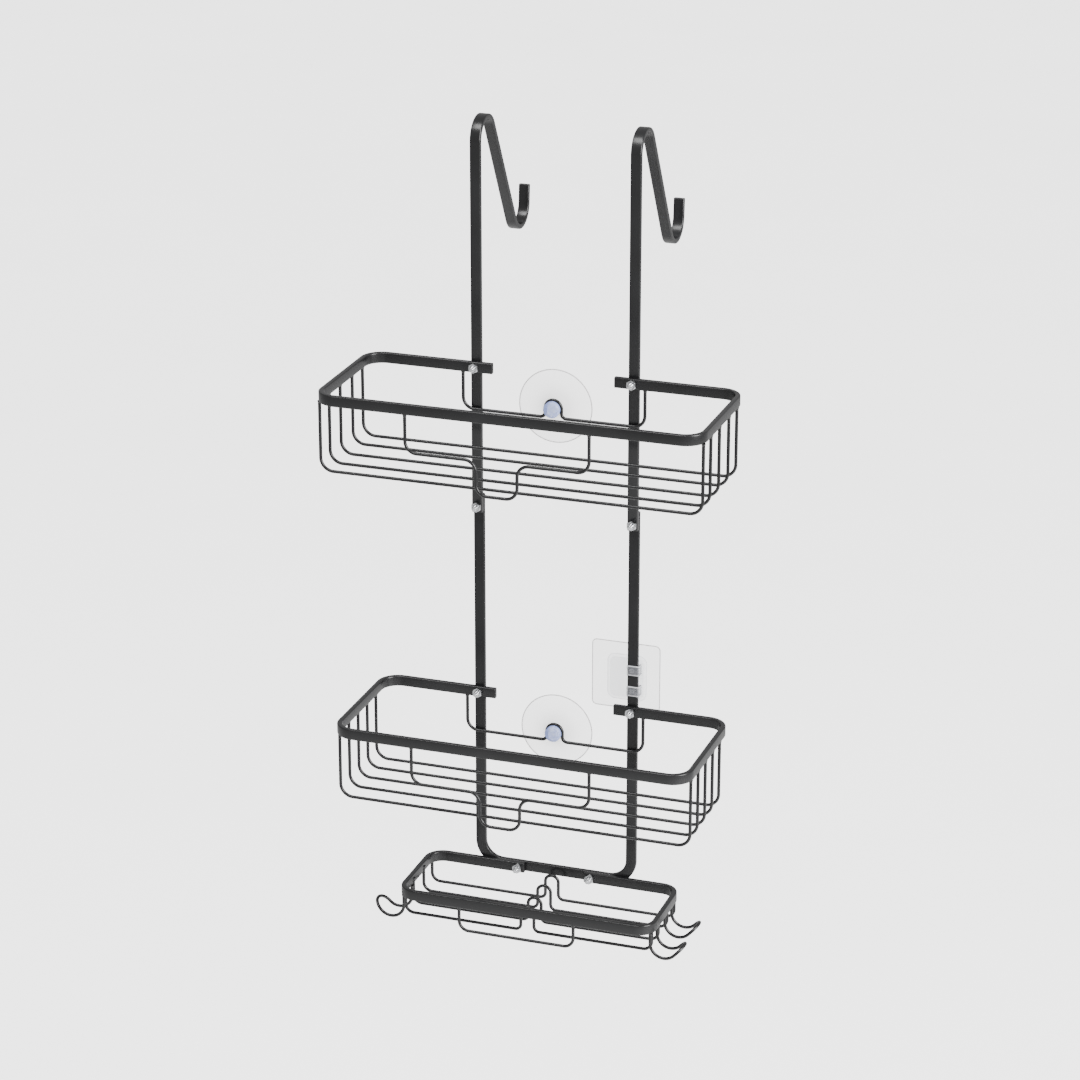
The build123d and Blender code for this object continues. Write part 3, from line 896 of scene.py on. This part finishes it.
bar_low, bar_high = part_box("lower_frame")
bar_right = bar_high[0]
bar_left = bar_right - BAR_WIDTH
middle_z = (low[2] + high[2]) / 2
LIP = 1.6 * MM
GAP = 0.3 * MM
for number, offset in enumerate((-8.65 * MM, 8.65 * MM), start=1):
    z0 = middle_z + offset - 4 * MM
    z1 = middle_z + offset + 4 * MM
    corners = [(bar_left, -GAP - LIP / 2, 0), (bar_right + GAP + LIP / 2, -GAP - LIP / 2, 0),
               (bar_right + GAP + LIP / 2, plate_front + 0.4 * MM, 0)]
    line = [Vector((p.x, p.y, (z0 + z1) / 2)) for p in bent_path(corners, [1.2 * MM])]
    mesh = bmesh.new()
    sweep(mesh, line, bar_section(z1 - z0, LIP, 0.4 * MM), (0, 0, 1), 0.35 * MM)
    front = -GAP - LIP
    centre = ((bar_left + bar_right) / 2, (z0 + z1) / 2)
    mark = [(0, front - 0.02 * MM), (1.1 * MM, front - 0.02 * MM), (1.25 * MM, front - 0.25 * MM),
            (1.75 * MM, front - 0.25 * MM), (1.95 * MM, front + 0.05 * MM),
            (1.95 * MM, front + 0.2 * MM), (0, front + 0.2 * MM)]
    revolve(mesh, mark, centre, 40)
    finish_piece(f"wall_clip_lip_{number}", mesh, lip_clear, "wall_clip", ())
    # painted highlight strips along the top and bottom edge of this lip
    mesh = bmesh.new()
    for z in (z0 + 0.35 * MM, z1 - 0.35 * MM):
        rail = [Vector((p.x, p.y, z)) for p in bent_path(corners, [1.2 * MM])]
        sweep(mesh, rail, bar_section(0.6 * MM, LIP * 0.98, 0.25 * MM, 3), (0, 0, 1), 0.2 * MM)
    finish_piece(f"wall_clip_lip_highlights_{number}", mesh, painted_highlight_edge, "wall_clip", ())
print("lips: 2")


# %% [markdown]
# ## Studio
# The caddy hangs above an even, pale floor that fills the view, so that its dark lines read
# clearly.
# A broad white surround gives the satin coat its soft grey sheen, one large light from the upper
# right brightens the sides that face it, and a smaller one high in front picks out the top edges.
# The paper also glows to the camera alone, so that it stays pale with little light on it.

# %% Floor, lights and camera
BACKGROUND = 2.8
floor_data = bpy.data.meshes.new("floor")
floor_mesh = bmesh.new()
bmesh.ops.create_grid(floor_mesh, x_segments=8, y_segments=8, size=60.0)
bmesh.ops.translate(floor_mesh, verts=floor_mesh.verts, vec=(0, 0, start_low[2] - 0.9))
floor_mesh.to_mesh(floor_data)
floor_mesh.free()
floor = bpy.data.objects.new("floor", floor_data)
bpy.context.scene.collection.objects.link(floor)
paper, paper_end = node_group("paper_sweep", (("Tone", "NodeSocketColor"),))
place = paper.nodes.new("ShaderNodeTexCoord")
fibre = noise(paper, 3, 2, place)
share = ramp(paper, fibre.outputs["Fac"], 0, 1)
tone = tint(paper, share.outputs["Result"], (0.93, 0.93, 0.93), (0.95, 0.95, 0.95))
paper.links.new(tone.outputs["Result"], paper_end.inputs["Tone"])
white, shader, tree = material_with(
    "pale_paper", paper, {"Tone": "Base Color"}, Roughness=0.9, Specular_IOR_Level=0.1)
tree.links.new(tree.nodes["Group"].outputs["Tone"], shader.inputs["Emission Color"])
sight = tree.nodes.new("ShaderNodeLightPath")
glow = tree.nodes.new("ShaderNodeMath")
glow.operation = "MULTIPLY"
glow.inputs[1].default_value = BACKGROUND
tree.links.new(sight.outputs["Is Camera Ray"], glow.inputs[0])
tree.links.new(glow.outputs["Value"], shader.inputs["Emission Strength"])
floor_data.materials.append(white)

world = bpy.data.worlds.new("studio")
world.use_nodes = True
world.node_tree.nodes["Background"].inputs["Color"].default_value = (1, 1, 1, 1)
world.node_tree.nodes["Background"].inputs["Strength"].default_value = 0.5
bpy.context.scene.world = world


def area_light(name, place, aim, size, power):
    data = bpy.data.lights.new(name, "AREA")
    data.shape = "RECTANGLE"
    data.size, data.size_y = size
    data.energy = power
    lamp = bpy.data.objects.new(name, data)
    lamp.location = place
    lamp.rotation_euler = (Vector(aim) - Vector(place)).to_track_quat("-Z", "Y").to_euler()
    bpy.context.scene.collection.objects.link(lamp)
    return lamp


middle = Vector((0, 0, (start_low[2] + start_high[2]) / 2))
area_light("key_right", (2.4, -0.9, 0.7), middle, (1.4, 2.2), 150)
area_light("edge_top", (-0.3, -1.2, 2.3), middle, (1.8, 1.0), 60)

camera_data = bpy.data.cameras.new("camera")
camera_data.lens = 120.06
camera_data.sensor_width = 36
camera = bpy.data.objects.new("camera", camera_data)
camera.location = (0.83359, -2.44542, 0.65599)
camera.rotation_euler = (radians(69.26), 0, radians(19.09))
bpy.context.scene.collection.objects.link(camera)
bpy.context.scene.camera = camera
print("camera lens mm:", round(camera_data.lens, 2))
